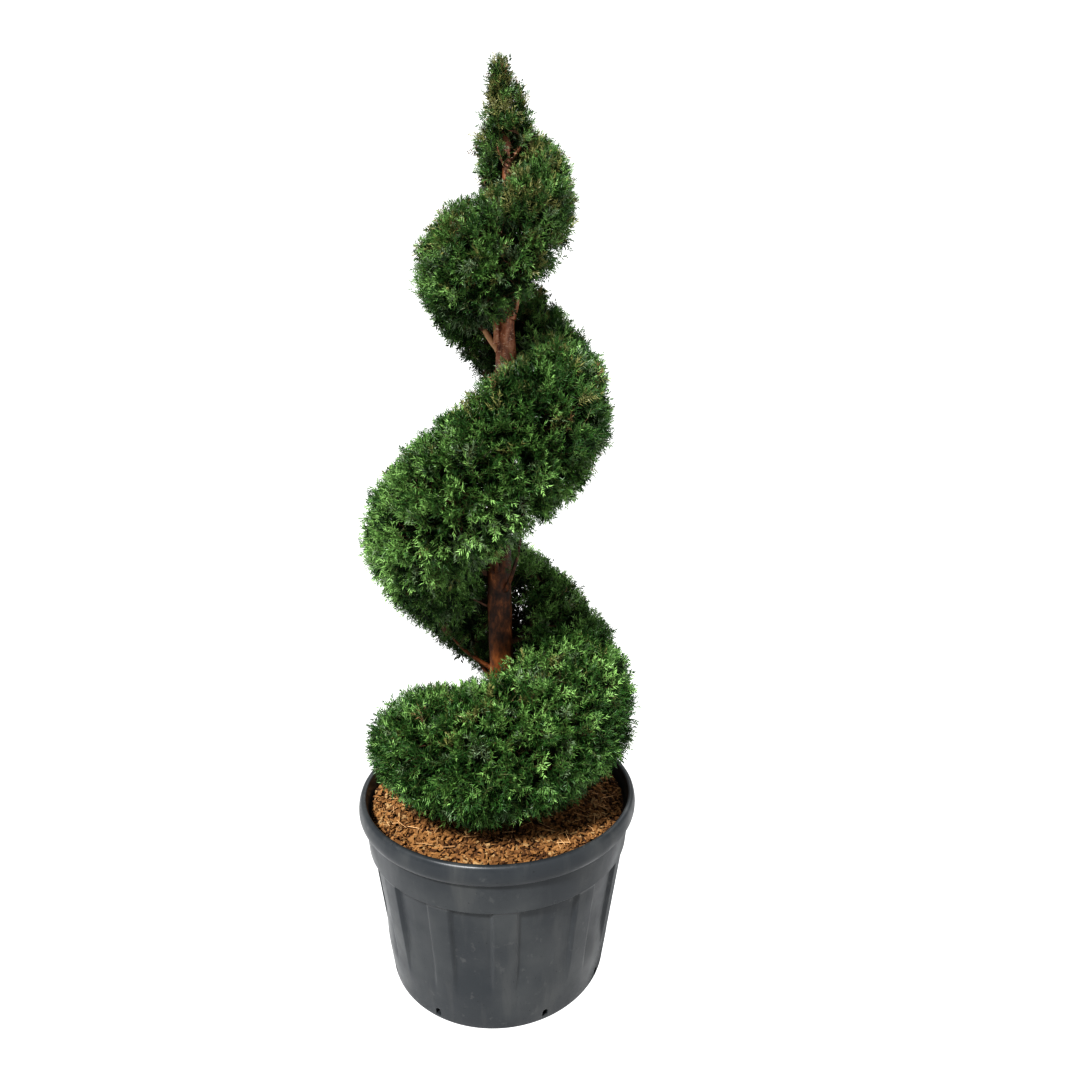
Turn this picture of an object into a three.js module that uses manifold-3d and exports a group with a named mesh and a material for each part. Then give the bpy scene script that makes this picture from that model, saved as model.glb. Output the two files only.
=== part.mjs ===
// A yew clipped into a rising spiral round its own trunk, standing in a round nursery pot.
//
// Millimetres, +Z up. The origin is the centre of the pot's flat underside; the front is -Y.
// Azimuths are degrees about +Z: 0 is +X (right), 90 is back, 180 is left and 270 is front.
// Each mesh is one solid piece: the pot, the soil, the bark mulch, the trunk, each bough that
// shows between the coils, and each quarter turn of the clipped foliage.

import * as THREE from "three";
import Module from "manifold-3d";

const wasm = await Module();
wasm.setup();

const { cos, sin, PI, max, min, abs, sign, sqrt } = Math;
const { clamp, degToRad, lerp, smoothstep } = THREE.MathUtils;

const GAP = 0.3; // left between pieces that touch
const UNEVEN_GAP = 4; // the same between uneven masses

// ---- the pot ----
const RIM_HEIGHT = 443;
const RIM_RADIUS = 346.5;
const BASE_RADIUS = 269;
const LIP_WIDTH = 18.5; // from the outside of the lip to the mouth
const LIP_DEPTH = 45; // how far the rolled lip hangs down
const LIP_BOTTOM = RIM_HEIGHT - LIP_DEPTH;
const COLLAR_BOTTOM = 324; // the plain band under the lip ends here
const COLLAR_RADIUS = 335; // at its top
const COLLAR_TAPER = 12;
const COLLAR_STEP = 3; // from the collar in to the ribs
const PANEL_STEP = 8; // from the ribs in to the panels between them
const FLUTE_BOTTOM = 75; // ribs and panels have faded into the plain base here
const FLUTE_FADE = 50; // and this far above it the panels are three quarters as deep as at the top
const BASE_ROUND = 5;
const MOUTH_WALL = 17; // the collar and the hollow lip together
const WALL = 10; // from the plain base in to the inside
const FLOOR_THICKNESS = 8;
const RIB_GROUPS = 4; // three ribs in each quarter, with a wider panel between the groups
const RIBS_IN_GROUP = 3;
const RIB_SPACING = 27;
const RIB_HALF_WIDTH = 4.6;
const RIB_SLOPE = 1.6; // the degrees that a rib's side takes
const FIRST_RIB = 221.9;
const DRAIN_PAIR_CENTRE = 269.5;
const DRAIN_HALF_ANGLE = 26.5;
const DRAIN = { width: 13, height: 17, bottom: 12, depth: 60 };

// ---- what fills it ----
const FILL_SIDES = 48;
const SOIL_CLEARANCE = 2; // between the soil and the pot's wall
const SOIL_TOP = 378;
const MULCH_EDGE = 409; // its surface beside the pot's wall
const MULCH_CROWN = 12; // how much higher it lies at the trunk
const MULCH_ROUGHNESS = 4;
const MULCH_CHANNEL = 7; // the surface falls away beside the wall
const MULCH_CLEARANCE = 4; // between the mulch and the pot's wall
const MULCH_RINGS = [1, 0.94, 0.78, 0.6, 0.42, 0.22]; // shares of its radius

// ---- the tree ----
const TREE_TOP = 2180;
const TRUNK_TOP = 2128;
const TRUNK_SIDES = 14;
const TRUNK_SAMPLES = 200;
const FLARE_RINGS = [0, 14, 32, 56, 90]; // heights above the soil
const TRUNK_RINGS = { first: 150, step: 75, last: 40 }; // above the soil, apart, and below the tip
const FLARE_HEIGHT = 85; // of the root flare above the soil
const FLARE = 26; // how much it adds to the radius at the soil
const FLARE_LOBES = 5;
const FLARE_LOBE_DEPTH = 0.25;

// Where the trunk's middle line runs: sideways, forwards or back, and up.
const TRUNK_LINE = [
  [12, 4, SOIL_TOP],
  [10, 2, 600],
  [5, 0, 860],
  [4, -2, 1020],
  [20, 0, 1440],
  [21, 2, 1620],
  [24, 0, 1980],
  [15, 0, TRUNK_TOP],
];

// The trunk's radius at a height. It loses some at its fork, just under 1.6 m.
const TRUNK_TAPER = [
  [SOIL_TOP, 36],
  [750, 28.5],
  [950, 29],
  [1480, 27],
  [1600, 18],
  [1980, 11],
  [TRUNK_TOP, 4],
];

// The spiral climbs counter-clockwise seen from above. One row is a quarter turn and one mass:
// name, height of its middle, reach from the trunk, half its height there, and how much further
// up (or, below 0, down) it grows beside the trunk.
const SPIRAL_START = 180;
const QUARTER = 90;
const SPIRAL = [
  ["low_left", 573, 336, 129, 0],
  ["low_front", 613, 327, 173, 0],
  ["low_right", 682, 331, 196, 60],
  ["low_back", 846, 322, 237, 20],
  ["middle_left", 1052, 328, 206, -60],
  ["middle_front", 1264, 298, 217, 0],
  ["middle_right", 1396, 250, 190, -60],
  ["middle_back", 1580, 222, 180, 0],
  ["upper_left", 1694, 212, 141, 0],
  ["upper_front", 1730, 188, 155, 0],
  ["upper_right", 1866, 155, 142, 0],
  ["upper_back", 1966, 120, 116, 0],
  ["top_left", 1968, 66, 92, 0],
];
const SPIRAL_TAIL = 28; // how far round the rounded foot of the spiral starts behind its first row
const TAIL_ROUND = 0.45; // quarter turns that the foot takes to swell to its full size
const TAIL_END = 0.25; // its share of that size where it starts
const ROWS_NEAR_TOP = 3; // the last rows, which the spire and the second tip are cut to
const SECTION_POINTS = 14;
const WIDEST = 0.36; // how far out from the trunk a section is at its thickest, as a share
const RING_STEP = 15; // degrees between sections
const OUTER_FULLNESS = 2.05; // of the section's outside: 2 is an ellipse, more is boxier
const INNER_FULLNESS = 2.8;
const TRUNK_CLEARANCE = 4; // between the trunk and the masses round it
const UNEVENNESS = 0.045;
const MOST_SWELL = 1.02; // the unevenness never carries the outside further than this
const TRUNK_MARGIN = 1.06; // over the trunk's plain radius, for its fluting

const SPIRE = { name: "spire", bottom: 1988, radius: 50, tipX: 8 };
const SECOND_TIP = { name: "second_tip", x: 57, y: 6, lean: -10, bottom: 2002, top: 2132, radius: 27 };
const POINTED_ROWS = 8;
const POINTED_SIDES = 12;
const POINTED_TAPER = 0.52; // 0 is a cylinder, 1 a cone
const POINTED_BELLY = [-0.12, 0.22]; // it swells out between these shares of its height
const POINTED_TIP = 4; // radius left at its tip
const POINTED_UNEVENNESS = 0.09;

// A bough: name, height where it leaves the trunk, azimuth, length, climb (degrees above level),
// radius at the trunk, and the share of that which is left at its end.
const BOUGHS = [
  ["bough_low_left", 738, 168, 130, 32, 5.5, 0.5],
  ["bough_low_back_left", 690, 148, 96, 46, 7, 0.6],
  ["bough_low_back", 565, 98, 88, 42, 8, 0.6],
  ["bough_low_right", 925, 305, 176, 62, 4.5, 0.6],
  ["bough_middle_front", 985, 262, 80, 50, 7, 0.6],
  ["bough_middle_back_right", 1255, 50, 110, 50, 7, 0.6],
  ["bough_middle_back_left", 1330, 120, 148, 52, 6.5, 0.6],
  ["bough_fork", 1520, 205, 90, 74, 10, 0.7],
  ["bough_middle_left", 1520, 175, 48, 45, 8.5, 0.85],
  ["bough_middle_right", 1580, 330, 110, 72, 8.5, 0.7],
  ["bough_top_right", 1945, 335, 48, 46, 4.5, 0.6],
  ["bough_top_left", 1930, 232, 40, 50, 4, 0.6],
];
const BOUGH_SIDES = 7;
const BOUGH_RINGS = 4;
const BOUGH_SAG = 0.1; // how far its middle lies below a straight line, as a share of its length

// ---- colours ----
const POT_GREY = "#3d444b";
const SOIL_BROWN = "#2b2019";
const MULCH_BROWN = "#9a6238";
const BARK_BROWN = "#7c4a32";
const NEEDLE_GREEN = "#2c4a26";

// A tidy repeatable unevenness between -1 and 1 for two angles in radians.
function ripple(a, b, seed) {
  return (
    0.45 * sin(3 * a + 1.7 * seed) * cos(2 * b + seed) +
    0.35 * sin(7 * a - 3 * b + 2.9 * seed) +
    0.2 * cos(13 * a + 5 * b + 4.1 * seed)
  );
}

// The value of a table of [place, value] rows at a place between them.
function fromTable(table, place) {
  const next = table.findIndex(([at]) => at >= place);
  if (next <= 0) return next === 0 ? table[0][1] : table[table.length - 1][1];
  const [startAt, start] = table[next - 1];
  const [endAt, end] = table[next];
  return lerp(start, end, (place - startAt) / (endAt - startAt));
}

// ---- solids ----

// One closed solid through rings of points, each ring as long as the next, with flat or fanned
// ends. The rings turn counter-clockwise as seen from the end that the loft goes towards.
function loft(rings) {
  const count = rings[0].length;
  const points = rings.flat();
  const ends = [rings[0], rings[rings.length - 1]];
  const centres = ends.map((ring) => {
    const sum = ring.reduce((total, point) => total.add(point), new THREE.Vector3());
    return sum.divideScalar(count);
  });
  const start = points.length;
  const end = start + 1;
  const last = (rings.length - 1) * count;
  const faces = [];
  for (let i = 0; i < count; i++) {
    const next = (i + 1) % count;
    faces.push(start, next, i);
    faces.push(end, last + i, last + next);
    for (let row = 0; row < rings.length - 1; row++) {
      const low = row * count;
      const high = low + count;
      faces.push(low + i, low + next, high + next);
      faces.push(low + i, high + next, high + i);
    }
  }
  return toManifold([...points, ...centres], faces);
}

function toManifold(points, faces) {
  const vertProperties = new Float32Array(points.flatMap((point) => point.toArray()));
  const triVerts = new Uint32Array(faces);
  return new wasm.Manifold(new wasm.Mesh({ numProp: 3, vertProperties, triVerts }));
}

function toGeometry(solid) {
  const { vertProperties, triVerts } = solid.getMesh();
  const geometry = new THREE.BufferGeometry();
  geometry.setAttribute("position", new THREE.BufferAttribute(vertProperties, 3));
  geometry.setIndex(new THREE.BufferAttribute(triVerts, 1));
  geometry.computeVertexNormals();
  return geometry;
}

function ringAround(x, y, height, sides, radiusAt) {
  return Array.from({ length: sides }, (_, i) => {
    const angle = (2 * PI * i) / sides;
    const radius = radiusAt(angle);
    return new THREE.Vector3(x + radius * cos(angle), y + radius * sin(angle), height);
  });
}

// ---- the pot ----

function ribCentres() {
  const centres = [];
  for (let group = 0; group < RIB_GROUPS; group++)
    for (let rib = 0; rib < RIBS_IN_GROUP; rib++)
      centres.push((FIRST_RIB + (group * 360) / RIB_GROUPS + rib * RIB_SPACING) % 360);
  return centres.sort((a, b) => a - b);
}

// The columns of the pot's mesh: each rib's foot, crest and foot, and two within each panel.
function potColumns(ribs) {
  return ribs.flatMap((rib, i) => {
    const following = ribs[(i + 1) % ribs.length] + (i + 1 === ribs.length ? 360 : 0);
    const foot = RIB_HALF_WIDTH + RIB_SLOPE;
    const panel = following - rib - 2 * foot;
    return [
      rib - foot,
      rib - RIB_HALF_WIDTH,
      rib + RIB_HALF_WIDTH,
      rib + foot,
      rib + foot + panel / 3,
      rib + foot + (2 * panel) / 3,
    ];
  });
}

function ribShare(azimuth, ribs) {
  const away = min(...ribs.map((rib) => abs(((azimuth - rib + 540) % 360) - 180)));
  return 1 - clamp((away - RIB_HALF_WIDTH) / RIB_SLOPE, 0, 1);
}

// The outside of the wall between the base and the collar, with no panels.
function wallRadius(height) {
  const top = COLLAR_RADIUS - COLLAR_TAPER - COLLAR_STEP;
  return lerp(BASE_RADIUS, top, height / COLLAR_BOTTOM);
}

// Outline of the wall from the underside, up the outside, over the lip and down the inside:
// height, radius, and how deep the panels are sunk there.
function potProfile() {
  const lip = [
    [LIP_BOTTOM, COLLAR_RADIUS, 0],
    [LIP_BOTTOM + 5, RIM_RADIUS - 2, 0],
    [RIM_HEIGHT - 22, RIM_RADIUS, 0],
    [RIM_HEIGHT - 8, RIM_RADIUS - 2, 0],
    [RIM_HEIGHT - 1, RIM_RADIUS - 7, 0],
    [RIM_HEIGHT, RIM_RADIUS - 11, 0],
    [RIM_HEIGHT - 3, RIM_RADIUS - 16, 0],
    [RIM_HEIGHT - 9, RIM_RADIUS - LIP_WIDTH, 0],
  ];
  return [
    [0, BASE_RADIUS - BASE_ROUND, 0],
    [BASE_ROUND * 0.3, BASE_RADIUS - BASE_ROUND * 0.3, 0],
    [BASE_ROUND, wallRadius(BASE_ROUND), 0],
    [FLUTE_BOTTOM, wallRadius(FLUTE_BOTTOM), 0],
    [FLUTE_BOTTOM + FLUTE_FADE, wallRadius(FLUTE_BOTTOM + FLUTE_FADE), PANEL_STEP * 0.75],
    [COLLAR_BOTTOM - 5, wallRadius(COLLAR_BOTTOM - 5), PANEL_STEP],
    [COLLAR_BOTTOM, COLLAR_RADIUS - COLLAR_TAPER, 0],
    ...lip,
    [LIP_BOTTOM, innerRadius(LIP_BOTTOM), 0],
    [FLOOR_THICKNESS, innerRadius(FLOOR_THICKNESS), 0],
  ];
}

// The inside of the wall stays clear of the panels sunk into its outside.
function innerRadius(height) {
  const top = COLLAR_RADIUS - MOUTH_WALL;
  const bottom = BASE_RADIUS - WALL;
  return lerp(bottom, top, (height - FLOOR_THICKNESS) / (LIP_BOTTOM - FLOOR_THICKNESS));
}

function pot() {
  const ribs = ribCentres();
  const columns = potColumns(ribs);
  const rings = potProfile().map(([height, radius, sunk]) =>
    columns.map((azimuth) => {
      const r = radius - sunk * (1 - ribShare(azimuth, ribs));
      const angle = degToRad(azimuth);
      return new THREE.Vector3(r * cos(angle), r * sin(angle), height);
    }),
  );
  const drains = drainSlots();
  return drains.reduce((body, slot) => body.subtract(slot), loft(rings));
}

function drainSlots() {
  const { width, height, bottom, depth } = DRAIN;
  const box = new THREE.BoxGeometry(depth, width, height).toNonIndexed();
  const slots = [];
  for (let quarter = 0; quarter < RIB_GROUPS; quarter++)
    for (const side of [-1, 1]) {
      const azimuth = DRAIN_PAIR_CENTRE + quarter * QUARTER + side * DRAIN_HALF_ANGLE;
      const place = new THREE.Matrix4().makeRotationZ(degToRad(azimuth));
      place.multiply(new THREE.Matrix4().makeTranslation(BASE_RADIUS, 0, bottom + height / 2));
      slots.push(boxSolid(box, place));
    }
  return slots;
}

// A box as a solid: its eight corners, found again from the triangles that three.js makes.
function boxSolid(box, place) {
  const corners = [];
  const faces = [];
  const position = box.getAttribute("position");
  for (let i = 0; i < position.count; i++) {
    const point = new THREE.Vector3().fromBufferAttribute(position, i);
    let index = corners.findIndex((corner) => corner.distanceTo(point) < GAP);
    if (index < 0) index = corners.push(point) - 1;
    faces.push(index);
  }
  return toManifold(
    corners.map((corner) => corner.applyMatrix4(place)),
    faces,
  );
}

// ---- soil and mulch ----

function pottingSoil() {
  const heights = [FLOOR_THICKNESS + GAP, SOIL_TOP - GAP];
  const flatsIn = cos(PI / FILL_SIDES); // the pot's wall is made of flats, nearer than its corners
  const radiusAt = (height) => innerRadius(height) * flatsIn - SOIL_CLEARANCE;
  return loft(heights.map((height) => ringAround(0, 0, height, FILL_SIDES, () => radiusAt(height))));
}

function barkMulch() {
  const outside = innerRadius(SOIL_TOP) - MULCH_CLEARANCE;
  const surface = (share) =>
    ringAround(0, 0, 0, FILL_SIDES, () => outside * share).map((point, i) => {
      const wave = MULCH_ROUGHNESS * ripple((2 * PI * i) / FILL_SIDES, 3 * share, 5 * share);
      const fall = share === 1 ? MULCH_CHANNEL : 0;
      return point.setZ(MULCH_EDGE + MULCH_CROWN * (1 - share * share) - fall + wave);
    });
  const underside = ringAround(0, 0, SOIL_TOP, FILL_SIDES, () => outside);
  return loft([underside, ...MULCH_RINGS.map(surface)]).subtract(trunk(GAP));
}

// ---- trunk and boughs ----

const trunkCurve = new THREE.CatmullRomCurve3(
  TRUNK_LINE.map((point) => new THREE.Vector3(...point)),
  false,
  "centripetal",
);
const trunkSamples = trunkCurve.getPoints(TRUNK_SAMPLES);

// The trunk's middle at a height, carried straight on above its tip.
function trunkAt(height) {
  const above = trunkSamples.findIndex((point) => point.z >= height);
  if (above < 0) return trunkSamples[trunkSamples.length - 1].clone().setZ(height);
  if (above === 0) return trunkSamples[0].clone().setZ(height);
  const [low, high] = [trunkSamples[above - 1], trunkSamples[above]];
  return low.clone().lerp(high, (height - low.z) / (high.z - low.z));
}

function trunkRadius(height, angle) {
  const up = clamp((height - SOIL_TOP) / FLARE_HEIGHT, 0, 1);
  const lobes = 1 + FLARE_LOBE_DEPTH * (cos(FLARE_LOBES * angle + 1) - 1);
  const flare = FLARE * (1 - up) ** 2 * lobes;
  const fluting = 0.035 * sin(3 * angle + height / 160) + 0.02 * cos(5 * angle - height / 90);
  return fromTable(TRUNK_TAPER, height) * (1 + fluting) + flare;
}

function trunk(grow = 0) {
  const { first, step, last } = TRUNK_RINGS;
  const heights = FLARE_RINGS.map((up) => SOIL_TOP + up);
  for (let height = SOIL_TOP + first; height < TRUNK_TOP - last; height += step) heights.push(height);
  heights.push(TRUNK_TOP);
  const rings = heights.map((height, row) => {
    const { x, y } = trunkAt(height);
    // A cutter also reaches a little past both ends.
    const past = grow * ((row === heights.length - 1) - (row === 0));
    return ringAround(x, y, height + past, TRUNK_SIDES, (a) => trunkRadius(height, a) + grow);
  });
  return loft(rings);
}

function bough([, height, azimuth, length, climb, radius, taper], grow = 0) {
  const out = new THREE.Vector3(cos(degToRad(azimuth)), sin(degToRad(azimuth)), 0);
  const rise = degToRad(climb);
  const along = out.clone().multiplyScalar(cos(rise)).setZ(sin(rise));
  const side = new THREE.Vector3(-out.y, out.x, 0);
  const over = along.clone().cross(side);
  const foot = trunkAt(height);
  const reach = length + fromTable(TRUNK_TAPER, height);
  const rings = [];
  for (let row = 0; row <= BOUGH_RINGS; row++) {
    const share = row / BOUGH_RINGS;
    const past = grow * ((row === BOUGH_RINGS) - (row === 0));
    const centre = foot.clone().addScaledVector(along, share * reach + past);
    centre.addScaledVector(over, -4 * BOUGH_SAG * share * (1 - share) * reach);
    const r = radius * lerp(1, taper, share) + grow;
    rings.push(
      Array.from({ length: BOUGH_SIDES }, (_, i) => {
        const angle = (2 * PI * i) / BOUGH_SIDES;
        const point = centre.clone().addScaledVector(side, r * cos(angle));
        return point.addScaledVector(over, r * sin(angle));
      }),
    );
  }
  return loft(rings);
}

// ---- foliage ----

function smoothRow(column, place) {
  const rows = SPIRAL.map((row) => row[column]);
  const at = (i) => {
    if (i < 0) return 2 * rows[0] - rows[1];
    if (i >= rows.length) return 2 * rows[rows.length - 1] - rows[rows.length - 2];
    return rows[i];
  };
  const i = Math.floor(place);
  const t = place - i;
  const [a, b, c, d] = [at(i - 1), at(i), at(i + 1), at(i + 2)];
  const bend = 2 * a - 5 * b + 4 * c - d;
  const twist = 3 * (b - c) + d - a;
  return 0.5 * (2 * b + t * (c - a + t * (bend + t * twist)));
}

function power(value, fullness) {
  return sign(value) * abs(value) ** (2 / fullness);
}

// One upright section of the spiral at a place counted in quarter turns from the first row.
// It swells and shrinks unevenly, and rounds off towards the spiral's foot.
function spiralSection(place, shift, grow) {
  const azimuth = degToRad(SPIRAL_START + place * QUARTER);
  const tangent = new THREE.Vector3(-sin(azimuth), cos(azimuth), 0);
  const middle = smoothRow(1, place);
  const reach = smoothRow(2, place);
  const half = smoothRow(3, place);
  const besideTrunk = smoothRow(4, place);
  const fromFoot = clamp((place + SPIRAL_TAIL / QUARTER) / TAIL_ROUND, 0, 1);
  const round = max(TAIL_END, sqrt(1 - (1 - fromFoot) ** 2));
  const ring = [];
  for (let i = 0; i < SECTION_POINTS; i++) {
    const turn = (-2 * PI * i) / SECTION_POINTS;
    const fullness = cos(turn) > 0 ? OUTER_FULLNESS : INNER_FULLNESS;
    const bump = 1 + UNEVENNESS * ripple(azimuth, turn, 1);
    const further = besideTrunk * sin(turn) > 0 ? besideTrunk * max(0, -cos(turn)) : 0;
    const swollen = half * round * power(sin(turn), fullness) * bump;
    const height = middle + swollen + further + grow * sin(turn);
    const inside = fromTable(TRUNK_TAPER, height) * TRUNK_MARGIN + TRUNK_CLEARANCE;
    const centre = lerp(inside, reach, WIDEST);
    const width = cos(turn) > 0 ? reach - centre : centre - inside;
    const swell = cos(turn) > 0 ? min(bump, MOST_SWELL) : 1;
    const radius = centre + width * round * power(cos(turn), fullness) * swell;
    const { x, y } = trunkAt(height);
    const r = max(radius + grow * cos(turn), inside - grow);
    const point = new THREE.Vector3(x + r * cos(azimuth), y + r * sin(azimuth), height);
    ring.push(point.addScaledVector(tangent, shift));
  }
  return ring;
}

// The quarter turn round a row of the spiral: half way to the row before and the row after it.
function spiralMass(row, grow = 0) {
  const isFirst = row === 0;
  const start = isFirst ? -SPIRAL_TAIL / QUARTER : row - 0.5;
  const end = row + 0.5;
  const steps = Math.ceil(((end - start) * QUARTER) / RING_STEP);
  const rings = [];
  for (let step = 0; step <= steps; step++) {
    const atEnd = (step === steps) - (step === 0);
    const shift = -atEnd * (GAP / 2 - grow);
    rings.push(spiralSection(lerp(start, end, step / steps), shift, grow));
  }
  return loft(rings);
}

// An upright pointed mass, such as the top of the tree, uneven all round.
function pointedMass({ bottom, top, radius, centreAt }, grow = 0) {
  const rings = [];
  for (let row = 0; row <= POINTED_ROWS; row++) {
    const up = row / POINTED_ROWS;
    const height = lerp(bottom - grow, top + grow, up);
    const swell = sqrt(smoothstep(up, ...POINTED_BELLY));
    const belly = radius * swell * (1 - up) ** POINTED_TAPER + POINTED_TIP;
    const { x, y } = centreAt(height);
    const uneven = (angle) => belly * (1 + POINTED_UNEVENNESS * ripple(angle, 5 * up, 2)) + grow;
    rings.push(ringAround(x, y, height, POINTED_SIDES, uneven));
  }
  return loft(rings);
}

function spire(grow = 0) {
  const centreAt = (height) => {
    const { x, y } = trunkAt(min(height, TRUNK_TOP));
    return { x: lerp(x, SPIRE.tipX, smoothstep(height, SPIRE.bottom, TREE_TOP)), y };
  };
  return pointedMass({ ...SPIRE, top: TREE_TOP, centreAt }, grow);
}

function secondTip() {
  const centreAt = (height) => {
    const up = (height - SECOND_TIP.bottom) / (SECOND_TIP.top - SECOND_TIP.bottom);
    return { x: SECOND_TIP.x + SECOND_TIP.lean * up, y: SECOND_TIP.y };
  };
  return pointedMass({ ...SECOND_TIP, centreAt });
}

// ---- the whole plant ----

function material(color, roughness) {
  return new THREE.MeshStandardMaterial({ color, roughness, metalness: 0 });
}

function build() {
  const plant = new THREE.Group();
  const add = (name, solid, finish) => {
    const mesh = new THREE.Mesh(toGeometry(solid), finish);
    mesh.name = name;
    plant.add(mesh);
  };
  const plastic = material(POT_GREY, 0.5);
  const soil = material(SOIL_BROWN, 0.95);
  const mulch = material(MULCH_BROWN, 0.9);
  const bark = material(BARK_BROWN, 0.65);
  const needles = material(NEEDLE_GREEN, 0.8);

  add("pot", pot(), plastic);
  add("potting_soil", pottingSoil(), soil);
  add("bark_mulch", barkMulch(), mulch);
  add("trunk", trunk(), bark);

  const trunkCutter = trunk(GAP);
  const boughCutters = BOUGHS.map((row) => bough(row, GAP));
  BOUGHS.forEach((row) => add(row[0], bough(row).subtract(trunkCutter), bark));
  const clearOfLimbs = (mass) =>
    boughCutters.reduce((left, cutter) => left.subtract(cutter), mass.subtract(trunkCutter));

  SPIRAL.forEach(([name], row) => add(name, clearOfLimbs(spiralMass(row)), needles));
  const clearOfTop = (mass) => {
    const rows = SPIRAL.map((_, row) => row).slice(-ROWS_NEAR_TOP);
    const cutters = rows.flatMap((row) => [spiralMass(row), spiralMass(row, UNEVEN_GAP)]);
    return cutters.reduce((left, cutter) => left.subtract(cutter), clearOfLimbs(mass));
  };
  add(SPIRE.name, clearOfTop(spire()), needles);
  add(SECOND_TIP.name, clearOfTop(secondTip()).subtract(spire(UNEVEN_GAP)), needles);
  return plant;
}

export default build();
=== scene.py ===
"""A yew clipped into a rising spiral, in a round nursery pot with bark mulch.

Metres, +Z up, the origin under the middle of the pot, the front at -Y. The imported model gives
the place of every piece: the trunk, each bough, each quarter turn of the foliage, and the pot.
"""

import bpy
import numpy as np
from mathutils import Matrix, Vector, noise
from mathutils.bvhtree import BVHTree
from mathutils.kdtree import KDTree


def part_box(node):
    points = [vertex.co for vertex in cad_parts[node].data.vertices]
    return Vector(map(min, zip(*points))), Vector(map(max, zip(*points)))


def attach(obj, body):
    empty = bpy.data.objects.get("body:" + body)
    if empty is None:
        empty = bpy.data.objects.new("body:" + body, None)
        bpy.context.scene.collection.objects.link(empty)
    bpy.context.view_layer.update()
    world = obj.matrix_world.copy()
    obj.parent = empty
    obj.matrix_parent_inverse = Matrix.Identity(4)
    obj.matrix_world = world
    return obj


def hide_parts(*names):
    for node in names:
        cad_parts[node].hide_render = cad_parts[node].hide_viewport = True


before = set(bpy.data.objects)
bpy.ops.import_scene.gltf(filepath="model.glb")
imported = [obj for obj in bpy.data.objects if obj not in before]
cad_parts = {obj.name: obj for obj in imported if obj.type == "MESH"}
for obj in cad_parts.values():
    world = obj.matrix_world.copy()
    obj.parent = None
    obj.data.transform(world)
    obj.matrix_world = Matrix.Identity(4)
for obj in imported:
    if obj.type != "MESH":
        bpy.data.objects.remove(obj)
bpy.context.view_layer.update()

BODY = "root"
UP = np.array([0.0, 0.0, 1.0])

# ---- camera and light ----
CAMERA_PLACE = (0.103, -1.647, 1.354)
CAMERA_TILT = 6.96  # degrees down
CAMERA_ROLL = 0.23
CAMERA_LENS = 22.74
CAMERA_SHIFT = -0.0317
FLOOR_SIZE = 40.0
FLOOR_COLOUR = (0.55, 0.55, 0.55)
FLOOR_DROP = 0.0005  # under the pot
SKY_COLOUR = (0.95, 0.98, 1.0)
SKY_STRENGTH = 0.40
# name: the direction it shines from, strength, and how many degrees wide it looks
SUNS = {
    "key": ((-0.6, -1.0, 1.4), 5.8, 8),
    "fill": ((1.0, -0.9, 0.6), 0.6, 60),
    "rim": ((0.3, 1.0, 1.0), 0.6, 45),
}

# ---- the pot ----
RIM_HEIGHT = 0.443
RIM_RADIUS = 0.3465
BASE_RADIUS = 0.269
LIP_WIDTH = 0.0185
LIP_DEPTH = 0.045
LIP_BOTTOM = RIM_HEIGHT - LIP_DEPTH
COLLAR_BOTTOM = 0.324
COLLAR_RADIUS = 0.335
COLLAR_TAPER = 0.012
COLLAR_STEP = 0.003
PANEL_STEP = 0.008
FLUTE_BOTTOM = 0.075
LEDGE = 0.0012  # the height over which the panels step out to the collar
FLUTE_TOP = COLLAR_BOTTOM - LEDGE
FLUTE_FADE = 0.10
WALL_START = 0.02  # the wall's rings begin this far above the ground
WALL_RINGS = 34
WALL_TOLERANCE = 0.0012  # points this near the wall's outside are on it
MOUTH_WALL = 0.017
WALL = 0.010
FLOOR_THICKNESS = 0.008
RIB_SPACING = 27.0
RIB_HALF_WIDTH = 4.6
RIB_SLOPE = 1.1
FIRST_RIB = 221.9
DRAIN_PAIR_CENTRE = 269.5
DRAIN_HALF_ANGLE = 26.5
DRAIN = {"width": 0.013, "height": 0.017, "bottom": 0.012, "depth": 0.06}
POT_COLUMNS = 540

# ---- mulch ----
MULCH_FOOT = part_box("bark_mulch")[0][2]
MULCH_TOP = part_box("bark_mulch")[1][2]
MULCH_PROBE = 0.97  # its height is read this share of the way out, short of the drop at the wall
BED_RINGS = 40
BED_COLUMNS = 150
BED_MARGIN = 0.001  # between the bed and the pot's wall
BED_CRUMBS = 0.004  # how high its crumbs stand
BED_SUNK = 0.003  # how far it lies under the CAD mulch's surface
CRUMBS_PER_METRE = 45
CHIPS = 9500
CHIP_LENGTH = (0.005, 0.018)
CHIP_WIDTH = (0.25, 0.60)  # shares of its length
CHIP_THICKNESS = (0.35, 0.7)  # shares of its width
CHIP_KNOCKS = 0.2  # how far its corners are out of place
CHIP_TILT = 0.38
CHIP_LIFT = (-0.003, 0.006)
CHIP_MARGIN = 0.006  # between the chips and the pot's wall
STRANDS = 160
STRAND_PIECES = 3
STRAND_STEP = (0.006, 0.014)
STRAND_RADIUS = (0.0005, 0.0011)
STRAND_LIFT = (0.006, 0.010)
STRAND_MARGIN = 0.03
STRAND_PROBE = 0.95

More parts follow.
